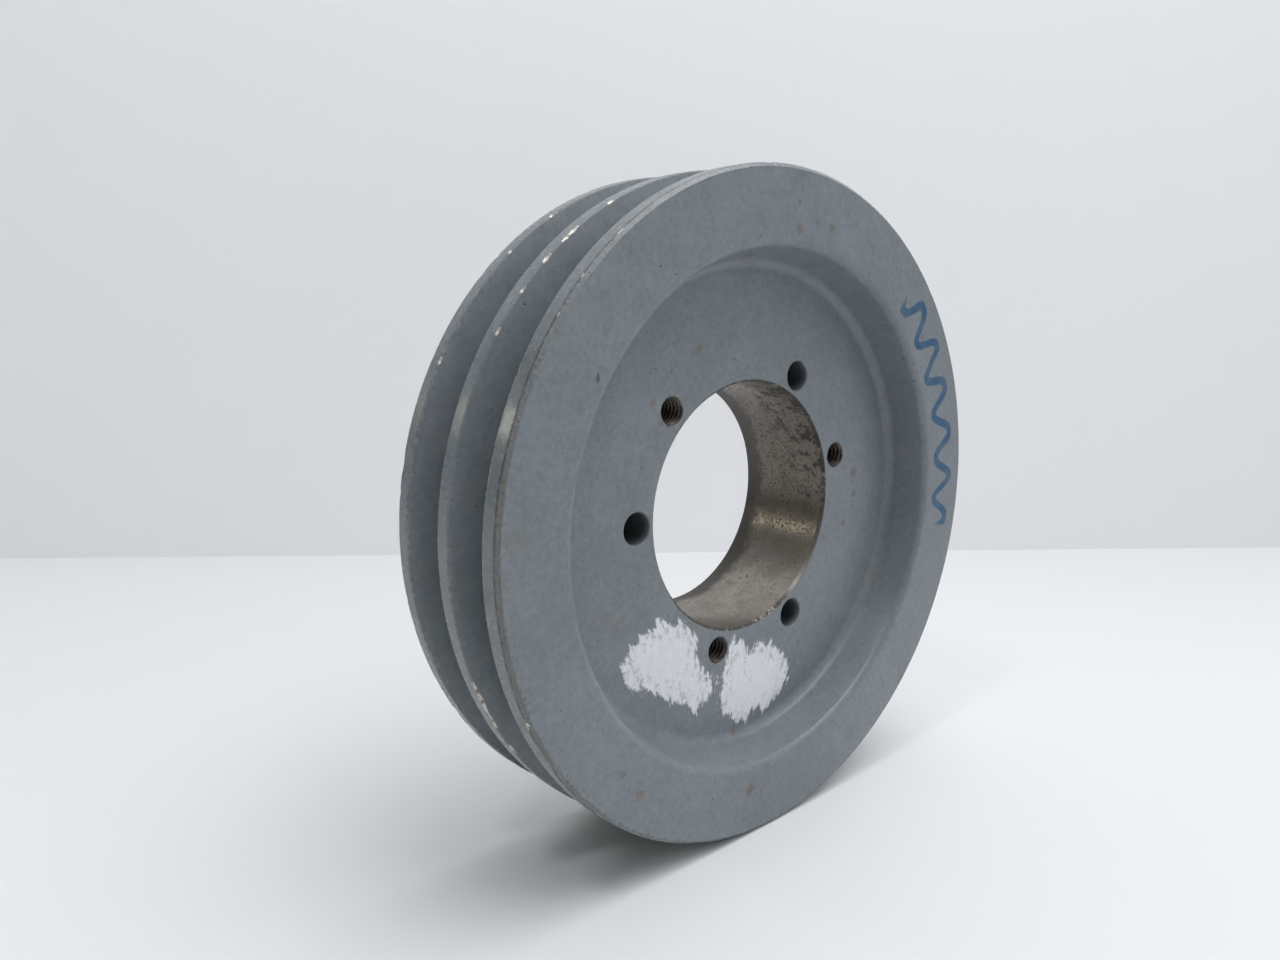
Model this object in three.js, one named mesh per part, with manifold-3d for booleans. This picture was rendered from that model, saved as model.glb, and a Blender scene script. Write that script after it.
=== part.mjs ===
// Two-groove V-belt sheave for a split taper bushing: one iron casting, turned on the rim,
// in the belt grooves and in the bore, and drilled on one bolt circle.
//
// Millimetres, +Z up. The axis is Y and the recessed front face looks along -Y. The origin
// is the wheel's centre, so the sheave stands on its rim at z = -OUTSIDE_RADIUS.
import * as THREE from "three";
import { mergeVertices } from "three/addons/utils/BufferGeometryUtils.js";
import Module from "manifold-3d";

// Driving dimensions of the rim
const OUTSIDE_RADIUS = 186.69 / 2;
const FACE_WIDTH = 44.45;
const RIM_CHAMFER = 1.0;

// Belt grooves
const GROOVE_COUNT = 2;
const GROOVE_PITCH = 19.05;
const GROOVE_MOUTH = 14.55;
const GROOVE_DEPTH = 14.5;
const GROOVE_ANGLE = THREE.MathUtils.degToRad(34);
const FRONT_RIDGE_WIDTH = 6.0;
const RIDGE_ROUND = 0.6;

// Front recess
const RECESS_RADIUS = 72.6;
const RECESS_DEPTH = 12.7;
const RECESS_DRAFT = THREE.MathUtils.degToRad(14);
const RECESS_MOUTH_ROUND = 2.4;
const RECESS_FILLET = 3.2;

// Web, and the cored ring behind it between hub and rim
const WEB_THICKNESS = 14.0;
const HUB_RADIUS = 54.0;
const CORE_RADIUS = 72.0;
const CORE_DRAFT = THREE.MathUtils.degToRad(5);
const CORE_FILLET = 4.0;
const CORE_MOUTH_ROUND = 1.6;

// Tapered bore: 3/4 inch per foot on the diameter, large end in the recess
const BORE_LARGE_RADIUS = 71.44 / 2;
const BORE_TAPER = 0.75 / 12 / 2;
const BORE_CHAMFER = 0.9;

// Bolt circle: three clearance holes and three tapped holes for 5/16-18 screws
const BOLT_CIRCLE_RADIUS = 84.14 / 2;
const CLEARANCE_HOLE_RADIUS = 8.73 / 2;
const TAPPED_HOLE_RADIUS = 6.6 / 2;
const HOLE_CHAMFER = 0.45;
const HOLES_PER_SET = 3;
const FIRST_CLEARANCE_ANGLE = THREE.MathUtils.degToRad(60);
const TAPPED_SET_OFFSET = THREE.MathUtils.degToRad(-45);

// Fineness of the facets
const WHEEL_SIDES = 72;
const HOLE_SIDES = 24;

// The front face is at y = -FACE_WIDTH / 2, and depths are counted back from it.
const fromFront = (depth) => depth - FACE_WIDTH / 2;

// Every flat of a faceted ring touches the true circle, so its corners stand a little outside.
const cornerRadius = (radius, sides) => radius / Math.cos(Math.PI / sides);

// Turns a list of [radius, depth, round, steps] corners into an outline, each corner rounded
// by an arc of the given radius in that many steps. A round of zero leaves the corner sharp.
function roundedOutline(corners) {
  const points = [];
  corners.forEach(([radius, depth, round, steps], index) => {
    const before = corners[(index + corners.length - 1) % corners.length];
    const after = corners[(index + 1) % corners.length];
    const corner = new THREE.Vector2(radius, depth);
    if (!round) {
      points.push(corner);
      return;
    }
    const back = new THREE.Vector2(before[0], before[1]).sub(corner).normalize();
    const ahead = new THREE.Vector2(after[0], after[1]).sub(corner).normalize();
    const halfAngle = Math.acos(back.dot(ahead)) / 2;
    const centre = corner.clone().addScaledVector(
      back.clone().add(ahead).normalize(), round / Math.sin(halfAngle));
    const reach = round / Math.tan(halfAngle);
    const start = corner.clone().addScaledVector(back, reach).sub(centre);
    const end = corner.clone().addScaledVector(ahead, reach).sub(centre);
    const turn = Math.atan2(start.cross(end), start.dot(end));
    for (let step = 0; step <= steps; step += 1) {
      points.push(start.clone().rotateAround(new THREE.Vector2(), turn * step / steps).add(centre));
    }
  });
  return points;
}

// One belt groove from its front edge at the given depth, as the outline passes over it
// from the rear of the wheel towards the front.
function grooveCorners(frontEdge) {
  const narrowing = GROOVE_DEPTH * Math.tan(GROOVE_ANGLE / 2);
  const floor = OUTSIDE_RADIUS - GROOVE_DEPTH;
  const rearEdge = frontEdge + GROOVE_MOUTH;
  return [
    [OUTSIDE_RADIUS, rearEdge, RIDGE_ROUND, 1],
    [floor, rearEdge - narrowing, 0, 0],
    [floor, frontEdge + narrowing, 0, 0],
    [OUTSIDE_RADIUS, frontEdge, RIDGE_ROUND, 1],
  ];
}

function rimCorners() {
  const corners = [[OUTSIDE_RADIUS, FACE_WIDTH, RIM_CHAMFER, 1]];
  for (let groove = GROOVE_COUNT - 1; groove >= 0; groove -= 1) {
    corners.push(...grooveCorners(FRONT_RIDGE_WIDTH + groove * GROOVE_PITCH));
  }
  corners.push([OUTSIDE_RADIUS, 0, RIM_CHAMFER, 1]);
  return corners;
}

function recessCorners() {
  const floorRadius = RECESS_RADIUS - RECESS_DEPTH * Math.tan(RECESS_DRAFT);
  return [
    [RECESS_RADIUS, 0, RECESS_MOUTH_ROUND, 3],
    [floorRadius, RECESS_DEPTH, RECESS_FILLET, 3],
  ];
}

function boreCorners() {
  const smallRadius = BORE_LARGE_RADIUS - (FACE_WIDTH - RECESS_DEPTH) * BORE_TAPER;
  return [
    [BORE_LARGE_RADIUS, RECESS_DEPTH, BORE_CHAMFER, 1],
    [smallRadius, FACE_WIDTH, BORE_CHAMFER, 1],
  ];
}

function coreCorners() {
  const webRear = RECESS_DEPTH + WEB_THICKNESS;
  const spread = (FACE_WIDTH - webRear) * Math.tan(CORE_DRAFT);
  return [
    [HUB_RADIUS, FACE_WIDTH, CORE_MOUTH_ROUND, 2],
    [HUB_RADIUS + spread, webRear, CORE_FILLET, 3],
    [CORE_RADIUS - spread, webRear, CORE_FILLET, 3],
    [CORE_RADIUS, FACE_WIDTH, CORE_MOUTH_ROUND, 2],
  ];
}

// The whole section, once round: rim, recess, bore and the cored ring.
function turnedCasting() {
  const corners = [...rimCorners(), ...recessCorners(), ...boreCorners(), ...coreCorners()];
  const outline = roundedOutline(corners).map(
    (point) => new THREE.Vector2(cornerRadius(point.x, WHEEL_SIDES), fromFront(point.y)));
  outline.push(outline[0].clone());
  return new THREE.LatheGeometry(outline.reverse(), WHEEL_SIDES, Math.PI / WHEEL_SIDES);
}

// A drill with a countersink at both faces of the hub, reaching a little past them.
function holeCutter(radius) {
  const past = 1;
  const front = fromFront(RECESS_DEPTH);
  const rear = fromFront(FACE_WIDTH);
  const wide = radius + HOLE_CHAMFER + past;
  const outline = [
    [0, front - past],
    [wide, front - past],
    [radius, front + HOLE_CHAMFER],
    [radius, rear - HOLE_CHAMFER],
    [wide, rear + past],
    [0, rear + past],
  ].map(([distance, height]) => new THREE.Vector2(cornerRadius(distance, HOLE_SIDES), height));
  return new THREE.LatheGeometry(outline, HOLE_SIDES);
}

function holeSet(radius, firstAngle) {
  return Array.from({ length: HOLES_PER_SET }, (_, index) => {
    const angle = firstAngle + index * 2 * Math.PI / HOLES_PER_SET;
    return holeCutter(radius).translate(
      BOLT_CIRCLE_RADIUS * Math.cos(angle), 0, BOLT_CIRCLE_RADIUS * Math.sin(angle));
  });
}

const wasm = await Module();
wasm.setup();

function solidFrom(geometry) {
  const bare = geometry.clone();
  bare.deleteAttribute("normal");
  bare.deleteAttribute("uv");
  const merged = mergeVertices(bare);
  return new wasm.Manifold(new wasm.Mesh({
    numProp: 3,
    vertProperties: new Float32Array(merged.attributes.position.array),
    triVerts: new Uint32Array(merged.index.array),
  }));
}

function geometryFrom(solid) {
  const mesh = solid.getMesh();
  const geometry = new THREE.BufferGeometry();
  geometry.setAttribute("position", new THREE.BufferAttribute(mesh.vertProperties, 3));
  geometry.setIndex(new THREE.BufferAttribute(mesh.triVerts, 1));
  geometry.computeVertexNormals();
  return geometry;
}

function drilledCasting() {
  const holes = [
    ...holeSet(CLEARANCE_HOLE_RADIUS, FIRST_CLEARANCE_ANGLE),
    ...holeSet(TAPPED_HOLE_RADIUS, FIRST_CLEARANCE_ANGLE + TAPPED_SET_OFFSET),
  ];
  return holes.reduce((solid, hole) => solid.subtract(solidFrom(hole)), solidFrom(turnedCasting()));
}

const greyEnamel = new THREE.MeshStandardMaterial({
  color: "#6f777e",
  roughness: 0.45,
  metalness: 0.1,
});

const casting = new THREE.Mesh(geometryFrom(drilledCasting()), greyEnamel);
casting.name = "sheave_casting";

const sheave = new THREE.Group();
sheave.add(casting);

export default sheave;
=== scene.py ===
import math

import bmesh
import bpy
from bpy.props import FloatProperty, FloatVectorProperty, IntProperty, PointerProperty
from mathutils import Euler, Matrix, Vector, noise


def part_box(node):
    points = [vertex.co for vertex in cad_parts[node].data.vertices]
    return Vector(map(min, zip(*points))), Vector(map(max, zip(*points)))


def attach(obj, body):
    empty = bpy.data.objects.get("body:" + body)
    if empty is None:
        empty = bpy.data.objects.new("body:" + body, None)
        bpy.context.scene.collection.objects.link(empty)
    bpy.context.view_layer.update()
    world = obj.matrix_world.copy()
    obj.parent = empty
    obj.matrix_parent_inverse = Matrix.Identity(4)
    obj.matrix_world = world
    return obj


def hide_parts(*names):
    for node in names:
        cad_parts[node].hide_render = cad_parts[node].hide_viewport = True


bl_info = {
    "name": "Two-Groove Sheave",
    "version": (1, 0, 0),
    "blender": (4, 5, 0),
    "location": "3D View > Sidebar > Sheave",
    "description": "Builds a two-groove V-belt sheave with a tapered bore, and a pale stage for it",
    "category": "Add Mesh",
}

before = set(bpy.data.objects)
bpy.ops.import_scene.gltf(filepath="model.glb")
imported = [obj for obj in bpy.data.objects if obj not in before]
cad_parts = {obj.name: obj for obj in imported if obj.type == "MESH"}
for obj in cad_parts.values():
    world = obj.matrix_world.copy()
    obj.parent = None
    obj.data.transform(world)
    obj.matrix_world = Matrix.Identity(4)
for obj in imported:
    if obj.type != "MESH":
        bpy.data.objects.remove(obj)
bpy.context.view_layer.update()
CASTING_NODE = "sheave_casting"
NODE_LOW, NODE_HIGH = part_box(CASTING_NODE)

# The casting is worked out in millimetres and brought to metres when its mesh is done.
MM = 0.001
WHEEL_STEPS = 540
HOLE_STEPS = 48
THREAD_STEPS = 36
SHARP_ANGLE = math.radians(38)

GROOVE_COUNT = 2
GROOVE_FLOOR_ROUND = 0.8
RECESS_ROUND, RECESS_FILLET = 2.4, 3.2
CORE_ROUND, CORE_FILLET = 1.6, 4.0
CORE_DRAFT = math.radians(5)
CHAMFER_SOFTENING = 0.16

# How far a cutter reaches past a face that it opens, and how far its lip stands off that face
CUTTER_PAST, CUTTER_LIP = 1.5, 0.02

ENAMEL, BARE, THREAD, CHIP = range(4)


# ---- Settings ----

def length_prop(name, description, default):
    return FloatProperty(name=name, description=description, default=default,
                         unit="LENGTH", min=0.0, precision=5)


def angle_prop(name, description, degrees):
    return FloatProperty(name=name, description=description, default=math.radians(degrees),
                         subtype="ANGLE")


def colour_prop(name, description, default):
    return FloatVectorProperty(name=name, description=description, default=default,
                               subtype="COLOR", size=3, min=0.0, max=1.0)


class SheaveShapeSettings(bpy.types.PropertyGroup):
    """Sizes of the casting"""

    outside_radius: length_prop("Outside radius", "Radius over the ridges", NODE_HIGH.x)
    face_width: length_prop(
        "Face width", "Width of the rim from front to rear", NODE_HIGH.y - NODE_LOW.y)
    rim_chamfer: length_prop("Rim chamfer", "Chamfer at both outer corners of the rim", 0.001)
    groove_pitch: length_prop("Groove spacing", "Distance between groove centres", 0.01905)
    groove_mouth: length_prop("Groove mouth", "Width of a groove at the outside diameter", 0.01455)
    groove_depth: length_prop(
        "Groove depth", "Depth of a groove below the outside diameter", 0.0145)
    groove_angle: angle_prop("Groove angle", "Angle between the flanks of a groove", 34)
    front_ridge: length_prop(
        "Front ridge", "Width of the ridge in front of the first groove", 0.006)
    ridge_round: length_prop("Ridge round", "Rounding of the ridge corners", 0.0006)
    recess_radius: length_prop("Recess radius", "Radius of the front recess at its mouth", 0.0726)
    recess_depth: length_prop("Recess depth", "Depth of the front recess", 0.0127)
    recess_draft: angle_prop("Recess draft", "Slope of the recess wall", 14)
    web_thickness: length_prop("Web thickness", "Thickness of the web between hub and rim", 0.014)
    hub_radius: length_prop("Hub radius", "Radius of the hub at the rear face", 0.054)
    core_radius: length_prop("Core radius", "Outer radius of the cored ring behind the web", 0.072)
    bore_radius: length_prop("Bore radius", "Radius of the tapered bore at its large end", 0.03572)
    bore_taper: FloatProperty(
        name="Bore taper", description="Loss of radius for each unit of length",
        default=0.03125, min=0.0, precision=5)
    bore_chamfer: length_prop("Bore chamfer", "Chamfer at both ends of the bore", 0.0009)
    bolt_circle_radius: length_prop(
        "Bolt circle radius", "Radius of the circle of six holes", 0.04207)
    clearance_radius: length_prop(
        "Clearance hole radius", "Radius of the three plain holes", 0.004365)
    thread_minor_radius: length_prop(
        "Thread minor radius", "Inner radius of the tapped holes", 0.0033)
    thread_major_radius: length_prop(
        "Thread major radius", "Outer radius of the tapped holes", 0.00397)
    thread_pitch: length_prop("Thread pitch", "Advance of the thread in one turn", 0.0014111)
    first_clearance_angle: angle_prop(
        "First clearance hole", "Angle of the first clearance hole", 60)
    tapped_offset: angle_prop(
        "Tapped hole offset", "Turn from a clearance hole to a tapped hole", -45)
    holes_per_set: IntProperty(
        name="Holes in each set", description="Number of clearance holes, and of tapped holes",
        default=3, min=1)


class SheaveFinishSettings(bpy.types.PropertyGroup):
    """Colours of the casting"""

    enamel: colour_prop("Enamel", "Blue-grey enamel", (0.189, 0.214, 0.235))
    enamel_shade: colour_prop("Enamel shade", "Darker patches of the enamel", (0.170, 0.193, 0.210))
    bare_iron: colour_prop("Bare iron", "Turned iron of the bore", (0.40, 0.365, 0.325))
    rust: colour_prop("Rust", "Light rust and brown stains", (0.16, 0.095, 0.05))
    dirt: colour_prop("Dirt", "Dark specks and grime", (0.03, 0.03, 0.028))
    daub: colour_prop("Daub", "White paint brushed on the web", (0.80, 0.81, 0.84))
    marker: colour_prop("Marker", "Blue ink on the front face", (0.008, 0.075, 0.17))


class SheaveStageSettings(bpy.types.PropertyGroup):
    """Floor, backdrop, lights and camera"""

    camera_location: FloatVectorProperty(
        name="Camera location", description="Place of the camera",
        default=(-0.20176, -0.19077, 0.05775), subtype="TRANSLATION", unit="LENGTH", size=3)
    camera_heading: angle_prop("Camera heading", "Turn of the camera from +Y towards +X", 41.565)
    camera_pitch: angle_prop("Camera pitch", "How far the camera looks down", 10.499)
    camera_lens: FloatProperty(
        name="Focal length", description="Focal length in millimetres on a 36 mm sensor",
        default=26.958, min=1.0)
    backdrop_distance: length_prop(
        "Backdrop distance", "Level distance from the camera to the backdrop", 0.570)
    backdrop_turn: angle_prop(
        "Backdrop turn", "Turn of the backdrop away from square to the camera", 1.9)
    backdrop_glow: FloatProperty(
        name="Backdrop glow", description="Light given off by the backdrop itself",
        default=0.07, min=0.0)
    floor_colour: colour_prop("Floor colour", "Pale table top", (0.80, 0.805, 0.815))
    backdrop_colour: colour_prop("Backdrop colour", "Pale wall", (0.90, 0.905, 0.915))


# ---- Shape of the casting, in millimetres ----
# Section points are (radius, depth), where depth is counted back from the front face.

class CastingSizes:
    """The shape settings in millimetres, with what follows from them"""

    def __init__(self, shape):
        self.outside = shape.outside_radius / MM
        self.width = shape.face_width / MM
        self.front = -self.width / 2
        self.rear = self.width / 2
        self.chamfer = shape.rim_chamfer / MM
        self.ridge_round = shape.ridge_round / MM
        self.recess_radius = shape.recess_radius / MM
        self.recess_depth = shape.recess_depth / MM
        self.web_front = self.front + self.recess_depth
        self.recess_floor_radius = (
            self.recess_radius - self.recess_depth * math.tan(shape.recess_draft))
        self.web_rear_depth = self.recess_depth + shape.web_thickness / MM
        self.hub = shape.hub_radius / MM
        self.core = shape.core_radius / MM
        self.core_spread = (self.width - self.web_rear_depth) * math.tan(CORE_DRAFT)
        self.bore_large = shape.bore_radius / MM
        self.bore_small = (
            self.bore_large - (self.width - self.recess_depth) * shape.bore_taper)
        self.bore_chamfer = shape.bore_chamfer / MM
        self.bolt_circle = shape.bolt_circle_radius / MM
        self.clearance = shape.clearance_radius / MM
        self.minor = shape.thread_minor_radius / MM
        self.major = shape.thread_major_radius / MM
        self.pitch = shape.thread_pitch / MM
        self.groove_floor = self.outside - shape.groove_depth / MM
        narrowing = shape.groove_depth / MM * math.tan(shape.groove_angle / 2)
        self.grooves = []
        for index in range(GROOVE_COUNT):
            edge = (shape.front_ridge + index * shape.groove_pitch) / MM
            end = edge + shape.groove_mouth / MM
            self.grooves.append((edge, edge + narrowing, end - narrowing, end))
        self.groove_edges = [edge for groove in self.grooves for edge in (groove[0], groove[3])]
        turn = 2 * math.pi / shape.holes_per_set
        self.clearance_angles = [
            shape.first_clearance_angle + index * turn for index in range(shape.holes_per_set)]
        self.tapped_angles = [angle + shape.tapped_offset for angle in self.clearance_angles]

    def hole_centre(self, angle):
        return Vector((self.bolt_circle * math.cos(angle), 0,
                       self.bolt_circle * math.sin(angle)))


def casting_section(sizes):
    """Corners of the section, once round: (radius, depth, cut, segments). A cut is the
    rounding radius of the corner, and a negative one is a chamfer of that size whose own two
    corners are then softened."""
    corners = [(sizes.outside, sizes.width, -sizes.chamfer, 2)]
    for edge, floor_start, floor_end, end in reversed(sizes.grooves):
        corners += [
            (sizes.outside, end, sizes.ridge_round, 4),
            (sizes.groove_floor, floor_end, GROOVE_FLOOR_ROUND, 2),
            (sizes.groove_floor, floor_start, GROOVE_FLOOR_ROUND, 2),
            (sizes.outside, edge, sizes.ridge_round, 4),
        ]
    return corners + [
        (sizes.outside, 0, -sizes.chamfer, 2),
        (sizes.recess_radius, 0, RECESS_ROUND, 6),
        (sizes.recess_floor_radius, sizes.recess_depth, RECESS_FILLET, 6),
        (sizes.bore_large, sizes.recess_depth, -sizes.bore_chamfer, 2),
        (sizes.bore_small, sizes.width, -sizes.bore_chamfer, 2),
        (sizes.hub, sizes.width, CORE_ROUND, 4),
        (sizes.hub + sizes.core_spread, sizes.web_rear_depth, CORE_FILLET, 5),
        (sizes.core - sizes.core_spread, sizes.web_rear_depth, CORE_FILLET, 5),
        (sizes.core, sizes.width, CORE_ROUND, 4),
    ]


def spun(points, steps, front):
    """A bmesh of the wire through the section points, turned once round the Y axis. A section
    that doesn't start on the axis is closed, and its long edges are divided."""
    longest = 5
    mesh = bmesh.new()
    verts = [mesh.verts.new((radius, depth + front, 0)) for radius, depth in points]
    on_axis = points[0][0] == 0
    pairs = list(zip(verts, verts[1:])) + ([] if on_axis else [(verts[-1], verts[0])])
    edges = [mesh.edges.new(pair) for pair in pairs]
    if not on_axis:
        for edge in edges:
            cuts = round(edge.calc_length() / longest) - 1
            if cuts > 0:
                bmesh.ops.subdivide_edges(mesh, edges=[edge], cuts=cuts)
    bmesh.ops.spin(mesh, geom=mesh.verts[:] + mesh.edges[:], cent=(0, 0, 0), axis=(0, 1, 0),
                   dvec=(0, 0, 0), angle=2 * math.pi, steps=steps, use_merge=True)
    bmesh.ops.remove_doubles(mesh, verts=mesh.verts, dist=1e-4)
    bmesh.ops.recalc_face_normals(mesh, faces=mesh.faces)
    return mesh


def soften_ring(mesh, radius, depth, front, reach, segments):
    """Bevels the ring of edges that one section corner makes."""
    slack = 2e-3

    def on_ring(vert):
        return (abs(vert.co.y - front - depth) < slack
                and abs(math.hypot(vert.co.x, vert.co.z) - radius) < slack)

    edges = [edge for edge in mesh.edges if on_ring(edge.verts[0]) and on_ring(edge.verts[1])]
    if not edges:
        raise RuntimeError(f"no ring at radius {radius:.3f}, depth {depth:.3f}")
    bmesh.ops.bevel(mesh, geom=edges, offset=reach, offset_type="OFFSET", affect="EDGES",
                    segments=segments, profile=0.5, material=-1, clamp_overlap=False)


def finish_corners(mesh, corners, front):
    """Rounds or chamfers every ring of the spun section."""
    for index, (radius, depth, cut, segments) in enumerate(corners):
        corner = Vector((radius, depth))
        before = (Vector(corners[index - 1][:2]) - corner).normalized()
        after = (Vector(corners[(index + 1) % len(corners)][:2]) - corner).normalized()
        if cut > 0:
            reach = cut / math.tan(before.angle(after) / 2)
            soften_ring(mesh, radius, depth, front, reach, segments)
            continue
        soften_ring(mesh, radius, depth, front, -cut, 1)
        for direction in (before, after):
            ring = corner - direction * cut
            soften_ring(mesh, ring.x, ring.y, front, CHAMFER_SOFTENING, segments)


def push_surface(mesh, front, distance):
    """Moves each vertex along its normal by distance(place, radius, depth)."""
    mesh.normal_update()
    moves = []
    for vert in mesh.verts:
        radius = math.hypot(vert.co.x, vert.co.z)
        amount = distance(vert.co, radius, vert.co.y - front)
        if amount:
            moves.append((vert, vert.normal * amount))
    for vert, move in moves:
        vert.co += move


def knock_edges(mesh, sizes):
    """Small dents along the outer corners of the ridges, deepest on the left side."""
    edges = [0, sizes.width] + sizes.groove_edges
    reach, deepest = 1.3, 0.28

    def dent(place, radius, depth):
        if radius < sizes.outside - reach or min(abs(depth - edge) for edge in edges) > reach:
            return 0
        side = 0.5 - 0.5 * place.x / radius
        grain = noise.noise(place * 0.45) + 0.5 * noise.noise(place * 1.1)
        patch = noise.noise(place * 0.06)
        bite = max(0.0, grain + 0.9 * patch - 0.35) * (0.08 + 0.22 * side)
        return -min(bite, deepest)

    push_surface(mesh, sizes.front, dent)


def roughen_core(mesh, sizes):
    """Unevenness of the unmachined ring behind the web."""
    def swell(place, radius, depth):
        if not (sizes.hub - 1 < radius < sizes.core + 1 and depth > sizes.web_rear_depth - 1):
            return 0
        fade = min(1.0, max(0.0, (sizes.width - 0.6 - depth) / 3))
        wave = noise.noise(place * 0.07) * 0.18 + noise.noise(place * 0.3) * 0.05
        return wave * fade

    push_surface(mesh, sizes.front, swell)


def plain_hole_cutter(sizes):
    """A drill for a clearance hole, whose two mouths flare softly."""
    wide = sizes.clearance + 2.0
    front, rear = sizes.recess_depth, sizes.width
    front_lip, rear_lip = front - CUTTER_LIP, rear + CUTTER_LIP
    mesh = spun([(0, front - CUTTER_PAST), (wide, front - CUTTER_PAST), (wide, front_lip),
                 (sizes.clearance, front_lip), (sizes.clearance, rear_lip),
                 (wide, rear_lip), (wide, rear + CUTTER_PAST), (0, rear + CUTTER_PAST)],
                HOLE_STEPS, sizes.front)
    for depth in (front_lip, rear_lip):
        soften_ring(mesh, sizes.clearance, depth, sizes.front, 0.55, 5)
    return mesh


def countersink_cutter(sizes, at_rear):
    """The cone at one mouth of a tapped hole."""
    wide, mouth, inner = sizes.major + 2.0, sizes.major + 0.15, sizes.minor - 0.2
    face = sizes.width if at_rear else sizes.recess_depth
    inward = -1 if at_rear else 1
    outer_end, lip = face - inward * CUTTER_PAST, face - inward * CUTTER_LIP
    inner_end = face + inward * (mouth - inner)
    mesh = spun([(0, outer_end), (wide, outer_end), (wide, lip), (mouth, lip),
                 (inner, inner_end), (0, inner_end)], HOLE_STEPS, sizes.front)
    soften_ring(mesh, mouth, lip, sizes.front, 0.22, 3)
    return mesh


def thread_cutter(sizes):
    """A threaded rod, right-handed, reaching past both faces of the hub."""
    past = 1.0
    start = sizes.web_front - past
    end = sizes.rear + past
    pitch = sizes.pitch
    turns = math.ceil((end - start) / pitch) + 3
    mesh = bmesh.new()
    # one tooth: radius, and how far along the pitch
    points = [(sizes.minor, 0), (sizes.minor, 0.25), (sizes.major, 0.5625),
              (sizes.major, 0.6875), (sizes.minor, 1)]
    verts = [mesh.verts.new((radius, start + pitch * (share - 1.5), 0))
             for radius, share in points]
    for pair in zip(verts, verts[1:]):
        mesh.edges.new(pair)
    bmesh.ops.spin(mesh, geom=mesh.verts[:] + mesh.edges[:], cent=(0, 0, 0), axis=(0, 1, 0),
                   dvec=(0, pitch / THREAD_STEPS, 0), angle=2 * math.pi * turns,
                   steps=turns * THREAD_STEPS)
    bmesh.ops.remove_doubles(mesh, verts=mesh.verts, dist=1e-3)
    for place, normal in ((start, (0, -1, 0)), (end, (0, 1, 0))):
        bmesh.ops.bisect_plane(mesh, geom=mesh.verts[:] + mesh.edges[:] + mesh.faces[:],
                               dist=1e-5, plane_co=(0, place, 0), plane_no=normal,
                               clear_outer=True)
    rims = [edge for edge in mesh.edges if edge.is_boundary]
    bmesh.ops.holes_fill(mesh, edges=rims, sides=0)
    bmesh.ops.recalc_face_normals(mesh, faces=mesh.faces)
    if any(not edge.is_manifold for edge in mesh.edges):
        raise RuntimeError("the thread cutter is not closed")
    return mesh


# Flakes broken off the ridges: (angle in degrees, which edge, length, bite). The edges are
# numbered from the front: 0 is the front corner, 1 and 2 the first groove, 3 and 4 the second.
CHIPS = [
    (133.0, 2, 1.5, 0.44), (128.2, 2, 1.1, 0.38), (126.6, 2, 1.3, 0.40), (139.5, 2, 0.8, 0.26),
    (118.0, 2, 0.7, 0.24), (146.5, 2, 0.9, 0.24), (203.5, 2, 4.6, 0.48), (208.0, 2, 1.6, 0.34),
    (214.5, 2, 1.8, 0.32), (131.0, 4, 0.9, 0.22), (121.0, 4, 0.8, 0.22), (152.0, 4, 0.9, 0.24),
    (137.0, 0, 1.4, 0.26), (128.0, 0, 1.2, 0.24), (143.5, 0, 1.0, 0.22), (203.0, 0, 2.4, 0.34),
    (211.0, 0, 1.8, 0.30), (226.0, 0, 1.2, 0.26), (62.0, 0, 1.3, 0.24), (341.0, 0, 1.6, 0.26),
    (28.0, 3, 2.0, 0.30), (300.0, 1, 2.2, 0.30), (88.0, 1, 1.4, 0.26), (255.0, 4, 2.4, 0.30),
]


def chip_frames(sizes):
    """Place, axes and half sizes of each flake."""
    depths = [0.5] + sizes.groove_edges
    leans = [-1, 1, -1, 1, -1]
    half_width, half_height = 0.95, 0.62
    frames = []
    for angle, edge, length, bite in CHIPS:
        turn = math.radians(angle)
        outward = Vector((math.cos(turn), 0, math.sin(turn)))
        along = Vector((-math.sin(turn), 0, math.cos(turn)))
        corner = outward * (sizes.outside - 0.05)
        corner.y = sizes.front + depths[edge]
        lean = (outward + Vector((0, leans[edge], 0)) * 0.8).normalized()
        centre = corner + lean * (half_height - bite)
        across = lean.cross(along).normalized()
        frames.append((centre, along, across, lean, (length, half_width, half_height)))
    return frames


def pebble():
    mesh = bmesh.new()
    bmesh.ops.create_icosphere(mesh, subdivisions=3, radius=1.0)
    return mesh


def chip_cutter(centre, along, across, lean, halves, seed):
    """A crumpled pebble that takes one flake off an edge."""
    mesh = pebble()
    for vert in mesh.verts:
        swell = 1 + 0.28 * noise.noise(vert.co * 2.1 + Vector((seed * 7.3, 0, 0)))
        vert.co = vert.co * swell
        x, y, z = (vert.co[axis] * halves[axis] for axis in range(3))
        vert.co = centre + along * x + across * y + lean * z
    bmesh.ops.recalc_face_normals(mesh, faces=mesh.faces)
    return mesh


def nick_cutter(sizes):
    """The dark nick in the front face, left of the recess."""
    mesh = pebble()
    for vert in mesh.verts:
        vert.co *= 1 + 0.2 * noise.noise(vert.co * 1.7)
    bmesh.ops.scale(mesh, vec=(0.55, 0.5, 1.25), verts=mesh.verts)
    bmesh.ops.translate(mesh, vec=(-65.0, sizes.front, 41.0), verts=mesh.verts)
    return mesh


def placed(name, data):
    """A new object of the scene."""
    item = bpy.data.objects.new(name, data)
    bpy.context.scene.collection.objects.link(item)
    return item


def joined(parts, name):
    """One mesh datablock from several bmeshes, each moved by its own offset."""
    whole = bmesh.new()
    for part, offset in parts:
        bmesh.ops.translate(part, vec=offset, verts=part.verts)
        piece = bpy.data.meshes.new(name)
        part.to_mesh(piece)
        part.free()
        whole.from_mesh(piece)
        bpy.data.meshes.remove(piece)
    result = bpy.data.meshes.new(name)
    whole.to_mesh(result)
    whole.free()
    return result


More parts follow.
